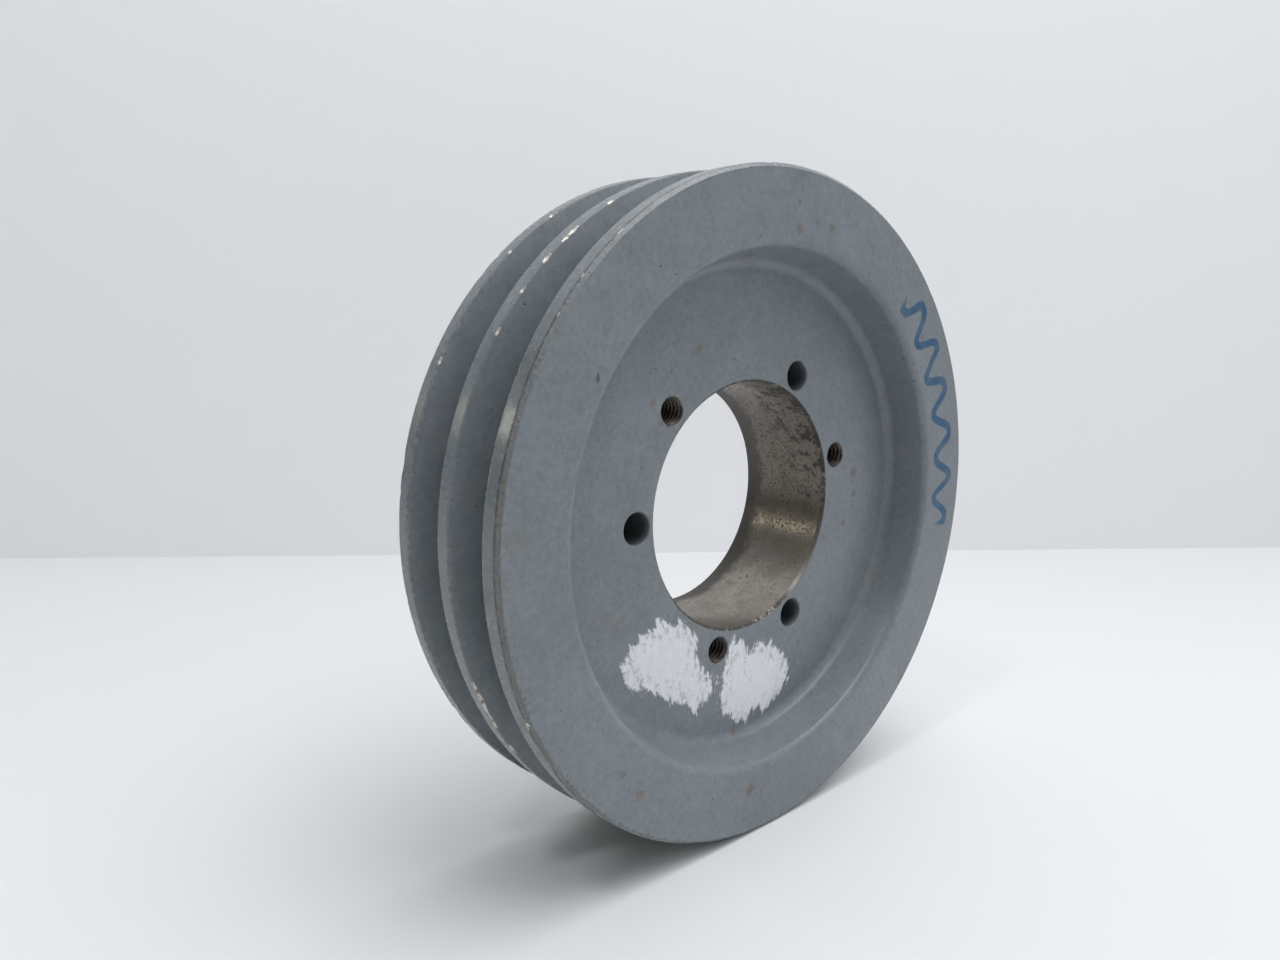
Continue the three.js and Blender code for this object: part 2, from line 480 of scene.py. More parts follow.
def cut_away(body, cutters):
    """The body mesh with each cutter mesh taken out of it in turn."""
    work = placed("casting_blank", body)
    helpers = [placed("cutter", cutter) for cutter in cutters]
    for helper in helpers:
        boolean = work.modifiers.new("cut", "BOOLEAN")
        boolean.operation = "DIFFERENCE"
        boolean.solver = "EXACT"
        boolean.object = helper
    evaluated = work.evaluated_get(bpy.context.evaluated_depsgraph_get())
    result = bpy.data.meshes.new_from_object(evaluated)
    for helper in helpers:
        cutter = helper.data
        bpy.data.objects.remove(helper)
        bpy.data.meshes.remove(cutter)
    bpy.data.objects.remove(work)
    bpy.data.meshes.remove(body)
    return result


def mark_surfaces(mesh, sizes):
    """Gives each face the finish of the surface that it belongs to."""
    tapped = [sizes.hole_centre(angle) for angle in sizes.tapped_angles]
    chips = chip_frames(sizes)
    for face in mesh.polygons:
        centre = face.center
        radius = math.hypot(centre.x, centre.z)
        face.material_index = ENAMEL
        if radius < sizes.bore_large + sizes.bore_chamfer - 0.1:
            face.material_index = BARE
        elif any(math.hypot(centre.x - hole.x, centre.z - hole.z) < sizes.major - 0.02
                 for hole in tapped):
            if sizes.web_front + 0.25 < centre.y < sizes.rear - 0.25:
                face.material_index = THREAD
        elif radius > sizes.outside - 2.5:
            for middle, along, across, lean, halves in chips:
                arm = centre - middle
                if arm.length > halves[0] * 1.4:
                    continue
                reach = math.sqrt(sum((arm.dot(axis) / half) ** 2 for axis, half in
                                      zip((along, across, lean), halves)))
                inward = face.normal.dot(lean)
                if reach < 1.3 and inward > -0.2 and face.area < 0.45:
                    face.material_index = CHIP
                    break


def casting_mesh(shape, materials):
    """The finished casting in metres, with its materials in the order of their indexes."""
    sizes = CastingSizes(shape)
    corners = casting_section(sizes)
    blank = spun([corner[:2] for corner in corners], WHEEL_STEPS, sizes.front)
    finish_corners(blank, corners, sizes.front)
    knock_edges(blank, sizes)
    roughen_core(blank, sizes)
    bmesh.ops.recalc_face_normals(blank, faces=blank.faces)
    if blank.calc_volume(signed=True) < 0:
        bmesh.ops.reverse_faces(blank, faces=blank.faces)

    holes = [(plain_hole_cutter(sizes), sizes.hole_centre(angle))
             for angle in sizes.clearance_angles]
    holes += [(countersink_cutter(sizes, at_rear), sizes.hole_centre(angle))
              for angle in sizes.tapped_angles for at_rear in (False, True)]
    threads = [(thread_cutter(sizes), sizes.hole_centre(angle)) for angle in sizes.tapped_angles]
    unmoved = Vector()
    flakes = [(chip_cutter(*place, seed), unmoved)
              for seed, place in enumerate(chip_frames(sizes))]
    flakes.append((nick_cutter(sizes), unmoved))

    mesh = cut_away(joined([(blank, unmoved)], "sheave_blank"), [
        joined(holes, "hole_cutters"), joined(threads, "thread_cutters"),
        joined(flakes, "flake_cutters")])
    mesh.materials.clear()
    for material in materials:
        mesh.materials.append(material)
    mark_surfaces(mesh, sizes)
    mesh.transform(Matrix.Scale(MM, 4))
    mesh.name = "sheave"
    mesh.polygons.foreach_set("use_smooth", [True] * len(mesh.polygons))
    mesh.set_sharp_from_angle(angle=SHARP_ANGLE)
    return mesh


# ---- Finishes, with their lengths in millimetres ----

class Graph:
    """Short calls for wiring a material"""

    def __init__(self, name):
        self.material = bpy.data.materials.new(name)
        self.material.use_nodes = True
        self.tree = self.material.node_tree
        self.tree.nodes.clear()
        self.colour = None
        output = self.add("ShaderNodeOutputMaterial")
        self.shader = self.add("ShaderNodeBsdfPrincipled")
        self.put(output.inputs["Surface"], self.shader.outputs[0])
        place = self.add("ShaderNodeTexCoord").outputs["Object"]
        self.place = self.vector("SCALE", place, scale=1 / MM)
        parts = self.add("ShaderNodeSeparateXYZ")
        self.put(parts.inputs[0], self.place)
        self.x, self.y, self.z = parts.outputs
        self.radius = self.math("SQRT", self.plus(
            self.times(self.x, self.x), self.times(self.z, self.z)))

    def add(self, kind, **settings):
        node = self.tree.nodes.new(kind)
        for key, value in settings.items():
            setattr(node, key, value)
        return node

    def put(self, socket, value):
        if isinstance(value, bpy.types.NodeSocket):
            self.tree.links.new(value, socket)
        elif value is not None:
            socket.default_value = value

    def math(self, operation, a, b=None):
        node = self.add("ShaderNodeMath", operation=operation)
        for socket, value in zip(node.inputs, (a, b)):
            self.put(socket, value)
        return node.outputs[0]

    def chain(self, operation, values):
        result, *others = values
        for value in others:
            result = self.math(operation, result, value)
        return result

    def plus(self, *values):
        return self.chain("ADD", values)

    def times(self, *values):
        return self.chain("MULTIPLY", values)

    def either(self, *masks):
        """The strongest of the masks."""
        return self.chain("MAXIMUM", masks)

    def minus(self, a, b):
        return self.math("SUBTRACT", a, b)

    def drift(self, noise_value, amount):
        """Noise centred on zero and spread over the amount."""
        return self.times(self.minus(noise_value, 0.5), amount)

    def vector(self, operation, a, b=None, scale=None):
        node = self.add("ShaderNodeVectorMath", operation=operation)
        for index, value in ((0, a), (1, b), (3, scale)):
            self.put(node.inputs[index], value)
        return node.outputs["Value" if operation in ("DOT_PRODUCT", "DISTANCE") else 0]

    def point(self, *parts):
        node = self.add("ShaderNodeCombineXYZ")
        for socket, value in zip(node.inputs, parts):
            self.put(socket, value)
        return node.outputs[0]

    def noise(self, size, detail=2.0, roughness=0.5, vector=None, shift=0.0):
        """Noise whose features are about size millimetres across."""
        node = self.add("ShaderNodeTexNoise", noise_dimensions="4D")
        self.put(node.inputs["Vector"], self.place if vector is None else vector)
        for name, value in (("W", shift), ("Scale", 1 / size), ("Detail", detail),
                            ("Roughness", roughness)):
            self.put(node.inputs[name], value)
        return node.outputs[0]

    def specks(self, spacing, size, chance, channel=0):
        """Round specks about spacing millimetres apart, left out of some cells by chance."""
        cells = self.add("ShaderNodeTexVoronoi", feature="F1")
        self.put(cells.inputs["Vector"], self.place)
        self.put(cells.inputs["Scale"], 1 / spacing)
        lot = self.add("ShaderNodeSeparateColor")
        self.put(lot.inputs[0], cells.outputs["Color"])
        return self.times(self.step(cells.outputs["Distance"], *size),
                          self.step(lot.outputs[channel], *chance))

    def step(self, value, low, high):
        """0 below low and 1 above high, with a smooth rise between, or the reverse."""
        node = self.add("ShaderNodeMapRange", interpolation_type="SMOOTHSTEP")
        limits = (high, low, 1.0, 0.0) if low > high else (low, high, 0.0, 1.0)
        for socket, setting in zip(node.inputs, (value, *limits)):
            self.put(socket, setting)
        return node.outputs[0]

    def blend(self, factor, a, b):
        """Colour or number a, passing into b as factor rises."""
        numbers = not any(hasattr(value, "__len__") or getattr(value, "type", "") in
                          ("RGBA", "VECTOR") for value in (a, b))
        node = self.add("ShaderNodeMix", data_type="FLOAT" if numbers else "RGBA")
        self.put(node.inputs[0], factor)
        first, second, out = (2, 3, 0) if numbers else (6, 7, 2)
        for socket, value in ((node.inputs[first], a), (node.inputs[second], b)):
            if hasattr(value, "__len__"):
                value = (*value, 1.0)[:4]
            self.put(socket, value)
        return node.outputs[out]

    def coat(self, film, mask, strength):
        """Lays a film of another colour over the colour so far, where the mask is."""
        self.colour = self.blend(self.times(mask, strength), self.colour, film)

    def tint(self, colour, amount):
        """The colour, made lighter or darker by the factor."""
        return self.vector("SCALE", colour, scale=amount)

    def towards(self, degrees):
        """1 on the side of the wheel at this angle and -1 on the far side."""
        turn = math.radians(degrees)
        across = self.plus(self.times(self.x, math.cos(turn)),
                           self.times(self.z, math.sin(turn)))
        return self.math("DIVIDE", across, self.radius)

    def spot(self, x, z, size):
        """A ragged spot round a point of the front."""
        away = self.vector("DISTANCE", self.point(self.x, None, self.z), (x, 0, z))
        frayed = self.plus(away, self.drift(self.noise(size * 0.55, 3, 0.65), size))
        return self.step(frayed, size, size * 0.35)

    def bump(self, height, distance, strength=1.0, normal=None):
        node = self.add("ShaderNodeBump")
        for name, value in (("Strength", strength), ("Distance", distance * MM),
                            ("Height", height), ("Normal", normal)):
            self.put(node.inputs[name], value)
        return node.outputs[0]

    def finish(self, roughness, metallic=None, normal=None):
        """The material, with the colour so far."""
        for name, value in (("Base Color", self.colour), ("Roughness", roughness),
                            ("Metallic", metallic), ("Normal", normal)):
            self.put(self.shader.inputs[name], value)
        return self.material


# Rust-brown stains of the front and the web: (x, z, size)
STAINS = [
    (4.6, 77.2, 2.1), (18.3, 77.9, 1.8), (12.0, 79.0, 1.1), (4.3, 83.6, 1.2),
    (-52.3, -65.5, 2.2), (-10.3, -79.2, 2.4), (-4.3, -67.4, 1.5), (-58.0, -58.0, 1.6),
    (-33.5, 27.0, 1.3), (-40.5, 16.0, 1.0), (50.5, 4.0, 2.4), (51.0, -3.0, 1.7),
    (-36.5, 32.5, 1.6), (-20.0, 46.0, 1.4), (46.0, -12.0, 1.4), (-34.5, -9.0, 1.5),
    (25.0, -47.0, 1.2), (-63.0, -30.0, 1.2), (66.0, 47.0, 1.5),
]

# White paint on the web: convex outline given clockwise as (x, z), stroke direction in
# degrees, and noise seed
DAUBS = [
    ([(-34.4, -26.8), (-26.0, -28.6), (-20.0, -34.5), (-20.0, -43.0), (-28.5, -50.5),
      (-38.4, -46.0), (-46.0, -40.6), (-48.4, -36.0), (-41.5, -29.5)], -64, 31),
    ([(-27.0, -38.0), (-19.0, -40.5), (-13.8, -46.0), (-13.0, -52.6), (-19.4, -56.6),
      (-28.5, -51.0)], -84, 33),
    ([(-3.4, -37.0), (0.5, -42.0), (7.5, -48.0), (6.0, -62.0), (1.9, -65.8),
      (-4.2, -63.6), (-10.6, -58.4), (-10.4, -49.0)], 84, 37),
    ([(1.0, -46.0), (6.3, -42.2), (14.9, -46.6), (18.9, -50.0), (20.6, -57.5),
      (17.5, -61.6), (9.0, -64.4), (1.0, -60.0)], 66, 41),
]


def brushed_patch(graph, corners, stroke, seed):
    """Mask of one daub, frayed by bristles that run along the stroke, and those bristles."""
    turn = math.radians(stroke)
    run = graph.vector("DOT_PRODUCT", graph.place, (math.cos(turn), 0, math.sin(turn)))
    side = graph.vector("DOT_PRODUCT", graph.place, (-math.sin(turn), 0, math.cos(turn)))
    bristle = graph.point(graph.times(run, 0.16), side)
    hairs = graph.noise(0.9, 3, 0.65, bristle, seed)
    tufts = graph.noise(2.8, 3, 0.6, bristle, seed + 3)
    crumbs = graph.noise(1.5, 4, 0.7, shift=seed + 5)
    distances = []
    for (x, z), (next_x, next_z) in zip(corners, corners[1:] + corners[:1]):
        outward = Vector((z - next_z, 0, next_x - x)).normalized()
        distances.append(graph.minus(graph.vector("DOT_PRODUCT", graph.place, outward),
                                     outward.x * x + outward.z * z))
    fray = graph.plus(graph.drift(tufts, 10.5), graph.drift(hairs, 4.0),
                      graph.drift(crumbs, 4.0))
    frayed = graph.plus(graph.either(*distances), fray)
    body = graph.step(frayed, 0.7, -0.7)
    streaks = graph.plus(graph.times(hairs, 0.5), graph.times(crumbs, 0.5))
    dry = graph.times(graph.step(streaks, 0.50, 0.58), graph.step(frayed, -6.0, -1.0))
    cover = graph.minus(graph.blend(graph.step(crumbs, 0.62, 0.44), 0.93, 1.0),
                        graph.times(dry, 0.42))
    return graph.times(body, cover), hairs


def marker_line(graph, on_front):
    """Mask of a wavy line of ink down the right side of the front face."""
    turn = graph.math("ARCTAN2", graph.z, graph.x)
    waves_per_turn, line_radius, slope_radius = 36.0, 82.2, 82.0
    swing = graph.plus(2.8, graph.times(graph.noise(16, 1, shift=40), 2.6))
    phase = graph.plus(graph.times(turn, waves_per_turn),
                       graph.times(graph.noise(22, 1, shift=42), 2.5))
    sway = graph.times(graph.math("SINE", phase), swing)
    slope = graph.times(graph.math("COSINE", phase),
                        graph.times(swing, waves_per_turn / slope_radius))
    off_line = graph.math("ABSOLUTE", graph.minus(graph.radius, graph.plus(sway, line_radius)))
    steepness = graph.math("SQRT", graph.plus(1.0, graph.times(slope, slope)))
    off_line = graph.plus(graph.math("DIVIDE", off_line, steepness),
                          graph.drift(graph.noise(0.6, 2, shift=43), 0.4))
    return graph.times(graph.step(off_line, 1.55, 1.1), graph.step(turn, -0.20, -0.18),
                       graph.step(turn, 0.82, 0.80), on_front, graph.step(graph.x, 20, 30))


def plain_hole_walls(graph, sizes, depth):
    """Mask of the inside of the clearance holes."""
    near = []
    for angle in sizes.clearance_angles:
        hole = sizes.hole_centre(angle)
        away = graph.math("SQRT", graph.plus(
            graph.math("POWER", graph.minus(graph.x, hole.x), 2.0),
            graph.math("POWER", graph.minus(graph.z, hole.z), 2.0)))
        near.append(graph.step(away, sizes.clearance + 0.5, sizes.clearance + 0.15))
    return graph.times(
        graph.either(*near), graph.step(depth, sizes.recess_depth + 0.3, sizes.recess_depth + 3),
        graph.step(depth, sizes.width - 0.3, sizes.width - 3))


def enamel_finish(colours):
    graph = Graph("blue_grey_enamel")
    sizes = CastingSizes(bpy.context.scene.sheave_shape)
    depth = graph.minus(graph.y, sizes.front)

    def near_rim(start, full):
        """Rises from 0 to 1 between two distances below the outside radius."""
        return graph.step(graph.radius, sizes.outside - start, sizes.outside - full)

    broad = graph.noise(38, 2)
    cloud = graph.noise(7.5, 3, 0.6, shift=2)
    mottle = graph.noise(1.5, 3, 0.62, shift=5)
    grain = graph.noise(0.42, 2, shift=8)
    broad_colour = graph.blend(graph.step(broad, 0.3, 0.7), colours.enamel, colours.enamel_shade)
    graph.colour = graph.tint(broad_colour, graph.plus(
        graph.drift(cloud, 0.34), graph.drift(mottle, 0.60), graph.drift(grain, 0.34), 1.0))

    on_front = graph.times(graph.step(depth, 0.5, 0.1), graph.step(graph.radius, 71, 72.5))
    on_web = graph.times(graph.step(graph.radius, 70.5, 68.5),
                         graph.step(depth, sizes.recess_depth + 1.2, sizes.recess_depth + 0.4))

    # faint brown bloom over the whole casting
    bloom = graph.step(graph.noise(9, 4, 0.68, shift=11), 0.56, 0.72)
    graph.coat((0.20, 0.175, 0.13), bloom, 0.22)

    # rust-brown stains where moisture sat
    stains = graph.times(graph.either(*[graph.spot(*stain) for stain in STAINS]),
                         graph.step(depth, sizes.recess_depth + 1.5, sizes.recess_depth))
    graph.coat(colours.rust, stains, 0.42)

    # pin-prick specks
    specks = graph.specks(5.0, (0.085, 0.05), (0.62, 0.68))
    graph.coat(colours.dirt, specks, 0.6)
    fine_specks = graph.specks(2.3, (0.15, 0.08), (0.72, 0.80), channel=1)
    graph.coat((0.07, 0.065, 0.055), fine_specks, 0.35)

    # the front chamfer: rubbed paint, rust flecks, speckle inside it and grime behind it
    left = graph.step(graph.towards(176), -0.35, 0.75)
    low_left = graph.step(graph.towards(205), 0.2, 0.9)
    rim_front = graph.times(near_rim(1.5, 0.75), graph.step(depth, 1.35, 0.95))
    rub_level = graph.plus(graph.times(graph.noise(1.3, 4, 0.7, shift=14), 0.75),
                           graph.times(graph.noise(11, 2, 0.5, shift=17), 0.45),
                           graph.times(left, 0.09), graph.times(low_left, 0.07))
    rubbed = graph.times(rim_front, graph.step(rub_level, 0.70, 0.82),
                         graph.blend(low_left, 0.35, 1.0))
    graph.coat((0.20, 0.187, 0.168), rubbed, 0.6)
    rust_flecks = graph.times(
        rim_front, graph.step(graph.noise(0.8, 3, 0.6, shift=20), 0.56, 0.64), left)
    graph.coat(colours.rust, rust_flecks, 0.7)
    edge_speckle = graph.times(
        near_rim(4.2, 1.6), graph.step(depth, 0.6, 0.2),
        graph.step(graph.towards(206), 0.72, 0.95),
        graph.step(graph.noise(0.8, 4, 0.7, shift=61), 0.53, 0.60),
        graph.step(graph.noise(6, 2, shift=63), 0.36, 0.58))
    graph.coat((0.11, 0.09, 0.065), edge_speckle, 0.65)
    grime = graph.times(
        near_rim(0.35, 0.05), graph.step(depth, 1.9, 1.1), graph.step(depth, 0.7, 1.0),
        graph.step(graph.noise(2.2, 3, 0.6, shift=23), 0.36, 0.5))
    graph.coat(colours.dirt, grime, 0.6)

    # worn corners of the ridges, and brown scrapes across their tops
    by_edges = [graph.step(graph.math("ABSOLUTE", graph.minus(depth, edge)), 0.95, 0.3)
                for edge in sizes.groove_edges]
    ridge_corners = graph.times(graph.either(*by_edges), near_rim(0.9, 0.25))
    worn = graph.times(ridge_corners, graph.step(rub_level, 0.76, 0.86))
    graph.coat((0.36, 0.345, 0.31), worn, 0.6)
    scrape_run = graph.vector("MULTIPLY", graph.place, (1.0, 0.35, 1.0))
    scrapes = graph.times(near_rim(0.6, 0.1),
                          graph.step(graph.noise(3.6, 4, 0.7, scrape_run, 26), 0.63, 0.72))
    graph.coat((0.23, 0.195, 0.15), scrapes, 0.42)

    # painted shade: the inside of the plain holes is darkened where the deep holes fall into shade
    graph.coat((0.045, 0.045, 0.043), plain_hole_walls(graph, sizes, depth), 0.72)

    # white paint brushed on the web
    patches = [brushed_patch(graph, *daub) for daub in DAUBS]
    daubs = graph.times(graph.either(*[mask for mask, strands in patches]), on_web)
    hairs = graph.either(*[strands for mask, strands in patches])
    daub_colour = graph.tint(colours.daub, graph.blend(graph.step(hairs, 0.45, 0.75), 0.95, 1.02))
    graph.colour = graph.blend(daubs, graph.colour, daub_colour)

    ink = marker_line(graph, on_front)
    ink_level = graph.blend(graph.step(graph.noise(5, 3, shift=45), 0.35, 0.65), 0.78, 1.0)
    graph.coat(colours.marker, ink, ink_level)

    roughness = graph.minus(
        graph.plus(0.25, graph.times(cloud, 0.12), graph.times(mottle, 0.06)),
        graph.times(near_rim(2.2, 1.0), 0.08))
    for mask, value in ((graph.either(stains, bloom), 0.62), (rubbed, 0.55), (worn, 0.42),
                        (scrapes, 0.6), (daubs, 0.72), (graph.times(ink, 0.8), 0.5)):
        roughness = graph.blend(mask, roughness, value)
    metallic = graph.either(graph.times(worn, 0.5), graph.times(rubbed, 0.25))

    peel = graph.bump(graph.noise(1.1, 2, 0.5, shift=51), 0.035, 0.8)
    waves = graph.bump(graph.noise(5.5, 2, 0.5, shift=53), 0.10, 0.8, peel)
    marks = graph.minus(graph.times(daubs, graph.plus(0.6, graph.times(hairs, 0.9))),
                        graph.either(rubbed, worn, graph.times(specks, 0.8)))
    return graph.finish(roughness, metallic, graph.bump(marks, 0.10, 1.0, waves))


def bare_finish(colours):
    graph = Graph("turned_iron")
    sizes = CastingSizes(bpy.context.scene.sheave_shape)
    turned = graph.vector("MULTIPLY", graph.place, (0.05, 1.0, 0.05))
    lines = graph.noise(0.22, 3, 0.6, turned, 2)
    bands = graph.noise(2.2, 2, 0.5, turned, 4)
    cloud = graph.noise(9, 3, 0.6, shift=6)
    grain = graph.noise(0.6, 3, 0.65, shift=8)
    graph.colour = graph.tint(colours.bare_iron, graph.plus(
        graph.drift(cloud, 0.35), graph.drift(lines, 0.22), graph.drift(grain, 0.3),
        graph.drift(bands, 0.15), 0.92))

    # brown film and rust flecks, densest on the upper right of the bore; the smooth darkening of
    # the right side is partly real film and partly painted shade that dims the bright floor
    # reflected there
    upper = graph.step(graph.towards(38), 0.15, 0.95)
    right_film_and_shade = graph.step(graph.towards(24), 0.45, 0.90)
    graph.coat((0.125, 0.104, 0.086), right_film_and_shade, 0.62)
    film = graph.step(graph.noise(5.5, 4, 0.65, shift=10), 0.42, 0.66)
    graph.coat((0.20, 0.165, 0.13), film, 0.4)
    flecks = graph.step(graph.plus(graph.noise(0.8, 4, 0.75, shift=12),
                                   graph.times(upper, 0.05)), 0.545, 0.66)
    graph.coat((0.06, 0.05, 0.042), flecks, 0.7)
    blotch_level = graph.plus(graph.noise(4.2, 4, 0.68, shift=14), graph.times(upper, 0.16))
    blotches = graph.times(graph.step(blotch_level, 0.64, 0.76), upper,
                           graph.step(graph.y, 14, -6))
    graph.coat((0.032, 0.029, 0.026), blotches, 0.82)
    specks = graph.specks(1.5, (0.28, 0.10), (0.34, 0.60))
    graph.coat((0.05, 0.042, 0.036), specks, 0.58)

    # enamel that ran a little way in from the rear face
    run_in = graph.plus(graph.times(graph.noise(13, 2, shift=16), 8.0),
                        graph.times(graph.noise(3.0, 3, 0.65, shift=18), 5.0))
    from_rear = graph.minus(sizes.rear, graph.y)
    overspray = graph.step(graph.minus(from_rear, run_in), 1.2, -2.4)
    graph.coat((0.092, 0.088, 0.083), overspray, 0.92)
    rear_face = graph.step(from_rear, 0.9, 0.5)
    graph.colour = graph.blend(rear_face, graph.colour, colours.enamel)

    # painted shade on the lip of the bore's front end, left out towards the lower right where the
    # highlight falls
    lip = graph.step(graph.y, sizes.web_front + 1.3, sizes.web_front + 0.7)
    lip_shade = graph.times(lip, graph.step(graph.noise(1.6, 3, 0.6, shift=20), 0.34, 0.50),
                            graph.step(graph.towards(-36), 0.99, 0.90))
    graph.coat((0.045, 0.04, 0.034), lip_shade, 0.85)

    cover = graph.either(overspray, rear_face)
    # lip_shade is painted shade; here it only makes the lip rougher
    dull = graph.either(flecks, blotches, lip_shade)
    roughness = graph.plus(0.24, graph.times(cloud, 0.14))
    for mask, value in ((film, 0.38), (dull, 0.68), (cover, 0.5)):
        roughness = graph.blend(mask, roughness, value)
    metallic = graph.blend(graph.either(graph.times(dull, 0.8), cover, graph.times(specks, 0.6),
                                        graph.times(film, 0.3)), 0.88, 0.05)
    tool_marks = graph.bump(lines, 0.02, 0.7)
    pits = graph.bump(graph.times(dull, -1.0), 0.03, 0.8, tool_marks)

    # the highlight is drawn out along the bore, across the turning marks
    graph.put(graph.shader.inputs["Tangent"], graph.point(None, 1.0))
    graph.shader.inputs["Anisotropic"].default_value = 0.75
    return graph.finish(roughness, metallic, graph.bump(cover, 0.06, 1.0, pits))


def thread_finish(colours):
    graph = Graph("oily_thread")
    cloud = graph.noise(2.0, 3, 0.6)
    graph.colour = graph.blend(
        graph.step(cloud, 0.35, 0.65), (0.05, 0.043, 0.036), (0.13, 0.112, 0.092))
    flecks = graph.step(graph.noise(0.6, 3, 0.65, shift=3), 0.52, 0.66)
    graph.coat(colours.dirt, flecks, 0.7)
    roughness = graph.plus(0.34, graph.times(cloud, 0.25))
    normal = graph.bump(graph.noise(0.35, 2, shift=5), 0.02, 0.7)
    return graph.finish(roughness, 0.65, normal)


def chip_finish(colours):
    graph = Graph("broken_edge")
    grain = graph.noise(0.45, 3, 0.65)
    graph.colour = graph.blend(grain, (0.52, 0.50, 0.44), (0.72, 0.70, 0.64))
    rusty = graph.step(graph.noise(1.6, 3, 0.6, shift=3), 0.5, 0.64)
    side = graph.step(graph.towards(215), 0.6, 0.95)
    rusty = graph.times(rusty, graph.plus(0.35, graph.times(side, 0.6)))
    graph.colour = graph.blend(rusty, graph.colour, (0.22, 0.15, 0.09))
    roughness = graph.plus(0.38, graph.times(grain, 0.25))
    return graph.finish(roughness, 0.55, graph.bump(grain, 0.05, 0.8))


# ---- Stage ----

def stage_finish(name, colour, roughness, glow=0.0):
    graph = Graph(name)
    graph.shader.inputs["Emission Color"].default_value = (1, 1, 1, 1)
    graph.shader.inputs["Emission Strength"].default_value = glow
    graph.colour = graph.tint(colour, graph.blend(graph.noise(240, 2), 0.985, 1.015))
    return graph.finish(roughness)


def panel_object(name, width, height, matrix, material):
    """A flat stage panel from a grid, with its place in its mesh."""
    mesh = bmesh.new()
    bmesh.ops.create_grid(mesh, x_segments=1, y_segments=1, size=0.5)
    bmesh.ops.scale(mesh, vec=(width, height, 1), verts=mesh.verts)
    bmesh.ops.transform(mesh, matrix=matrix, verts=mesh.verts)
    data = bpy.data.meshes.new(name)
    mesh.to_mesh(data)
    mesh.free()
    data.materials.append(material)
    placed(name, data)


def area_light(name, location, size, power, colour):
    """A rectangular light that points at the middle of the wheel."""
    data = bpy.data.lights.new(name, "AREA")
    data.shape = "RECTANGLE"
    data.size, data.size_y = size
    data.energy = power
    data.color = colour
    light = placed(name, data)
    light.location = location
    light.rotation_euler = (-Vector(location)).to_track_quat("-Z", "Y").to_euler()


def room_light(scene):
    """A pale ceiling over a darker room, darkest low on the left."""
    world = bpy.data.worlds.new("soft_room")
    world.use_nodes = True
    tree = world.node_tree
    background = tree.nodes["Background"]
    parts = tree.nodes.new("ShaderNodeSeparateXYZ")
    tree.links.new(tree.nodes.new("ShaderNodeTexCoord").outputs["Generated"], parts.inputs[0])

    def rise(socket, low, high, start, end):
        node = tree.nodes.new("ShaderNodeMapRange")
        node.interpolation_type = "SMOOTHSTEP"
        for index, value in enumerate((low, high, start, end), 1):
            node.inputs[index].default_value = value
        tree.links.new(socket, node.inputs[0])
        return node.outputs[0]

    ceiling = rise(parts.outputs[2], 0.0, 0.8, 0.33, 1.35)
    left = rise(parts.outputs[0], -0.55, 0.55, 0.10, 1.30)
    total = tree.nodes.new("ShaderNodeMath")
    total.operation = "MULTIPLY"
    tree.links.new(ceiling, total.inputs[0])
    tree.links.new(left, total.inputs[1])
    background.inputs["Color"].default_value = (0.94, 0.97, 1.0, 1.0)
    tree.links.new(total.outputs[0], background.inputs["Strength"])
    scene.world = world


def build_stage(stage):
    scene = bpy.context.scene
    heading = Vector((math.sin(stage.camera_heading), math.cos(stage.camera_heading), 0))
    rightward = Vector((heading.y, -heading.x, 0))
    camera_place = Vector(stage.camera_location)

    floor_height, floor_side = NODE_LOW.z, 7
    floor_material = stage_finish("pale_table", stage.floor_colour, 0.55)
    panel_object("floor", floor_side, floor_side, Matrix.Translation((0, 0, floor_height)),
                 floor_material)

    # the backdrop stands on the floor and reaches further to the right than to the left
    width, height, shift = 2.2, 1.5, 0.5
    turned = Matrix.Rotation(stage.backdrop_turn, 3, "Z")
    outward, sideways = turned @ heading, turned @ rightward
    foot = camera_place + heading * stage.backdrop_distance + sideways * shift
    upright = Matrix((
        (sideways.x, 0, -outward.x, foot.x),
        (sideways.y, 0, -outward.y, foot.y),
        (0, 1, 0, floor_height + height / 2),
        (0, 0, 0, 1),
    ))
    backdrop_material = stage_finish(
        "pale_wall", stage.backdrop_colour, 0.8, stage.backdrop_glow)
    panel_object("backdrop", width, height, upright, backdrop_material)

    room_light(scene)
    area_light("overhead", (0.14, -0.20, 0.88), (0.9, 0.7), 5.3, (1.0, 1.0, 1.0))
    area_light("upper_left", (-0.45, -0.10, 0.75), (0.10, 0.10), 0.9, (0.97, 0.99, 1.0))
    area_light("left_lamp", (-0.95, 1.12, 0.46), (0.30, 0.04), 1.3, (1.0, 0.99, 0.78))

    camera_data = bpy.data.cameras.new("camera")
    camera_data.sensor_width = 36.0
    camera_data.lens = stage.camera_lens
    camera_data.clip_start, camera_data.clip_end = 0.01, 50.0
    camera = placed("camera", camera_data)
    camera.location = camera_place
    camera.rotation_euler = Euler(
        (math.radians(90) - stage.camera_pitch, 0, -stage.camera_heading), "XYZ")
    scene.camera = camera
    scene.view_settings.view_transform = "Standard"


# ---- Operators, panel and registration ----

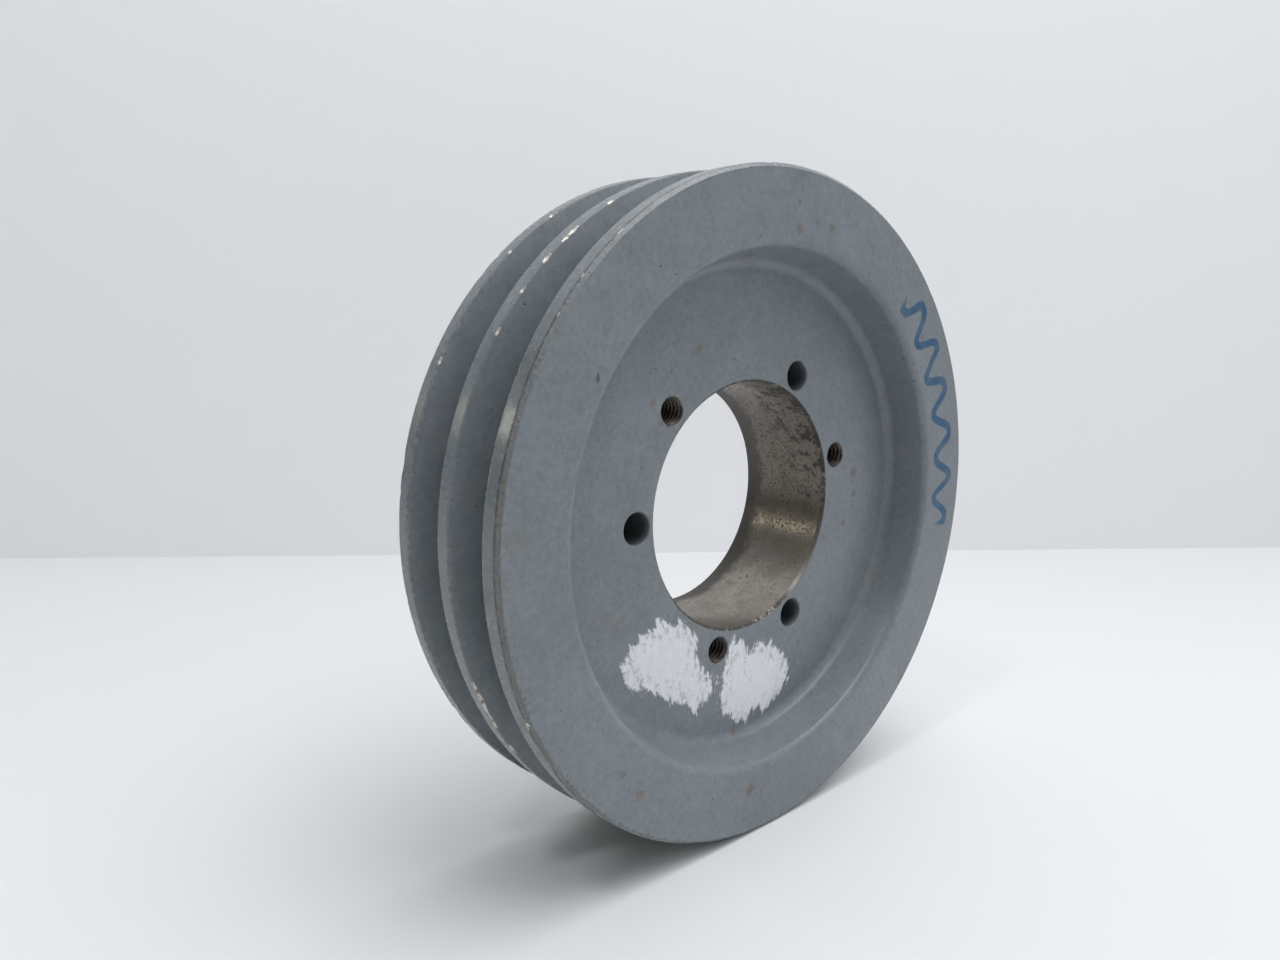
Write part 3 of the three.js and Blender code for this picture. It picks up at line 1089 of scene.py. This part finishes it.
class SHEAVE_OT_build_casting(bpy.types.Operator):
    """Builds the one iron casting with its grooves, bore, holes and finishes"""

    bl_idname = "sheave.build_casting"
    bl_label = "Sheave Casting"

    def execute(self, context):
        colours = context.scene.sheave_finish
        materials = [finish(colours) for finish in
                     (enamel_finish, bare_finish, thread_finish, chip_finish)]
        mesh = casting_mesh(context.scene.sheave_shape, materials)
        casting = placed("sheave", mesh)
        smoothing = casting.modifiers.new("face_weighted_normals", "WEIGHTED_NORMAL")
        smoothing.keep_sharp = True
        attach(casting, "root")
        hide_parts(CASTING_NODE)
        return {"FINISHED"}


class SHEAVE_OT_build_stage(bpy.types.Operator):
    """Sets the floor, backdrop, lights and camera"""

    bl_idname = "sheave.build_stage"
    bl_label = "Stage"

    def execute(self, context):
        build_stage(context.scene.sheave_stage)
        return {"FINISHED"}


class SHEAVE_PT_sidebar(bpy.types.Panel):
    """Lists the builders of the sheave and its stage"""

    bl_idname = "SHEAVE_PT_sidebar"
    bl_label = "Two-Groove Sheave"
    bl_space_type = "VIEW_3D"
    bl_region_type = "UI"
    bl_category = "Sheave"

    def draw(self, context):
        layout = self.layout
        layout.operator(SHEAVE_OT_build_casting.bl_idname)
        layout.operator(SHEAVE_OT_build_stage.bl_idname)
        for settings in (context.scene.sheave_shape, context.scene.sheave_finish,
                         context.scene.sheave_stage):
            column = layout.column(align=True)
            for key in settings.__annotations__:
                column.prop(settings, key)


CLASSES = (
    SheaveShapeSettings,
    SheaveFinishSettings,
    SheaveStageSettings,
    SHEAVE_OT_build_casting,
    SHEAVE_OT_build_stage,
    SHEAVE_PT_sidebar,
)


def register():
    for item in CLASSES:
        bpy.utils.register_class(item)
    bpy.types.Scene.sheave_shape = PointerProperty(type=SheaveShapeSettings)
    bpy.types.Scene.sheave_finish = PointerProperty(type=SheaveFinishSettings)
    bpy.types.Scene.sheave_stage = PointerProperty(type=SheaveStageSettings)


def unregister():
    del bpy.types.Scene.sheave_stage
    del bpy.types.Scene.sheave_finish
    del bpy.types.Scene.sheave_shape
    for item in reversed(CLASSES):
        bpy.utils.unregister_class(item)


def main():
    register()
    bpy.ops.sheave.build_casting()
    bpy.ops.sheave.build_stage()


if __name__ == "__main__":
    main()
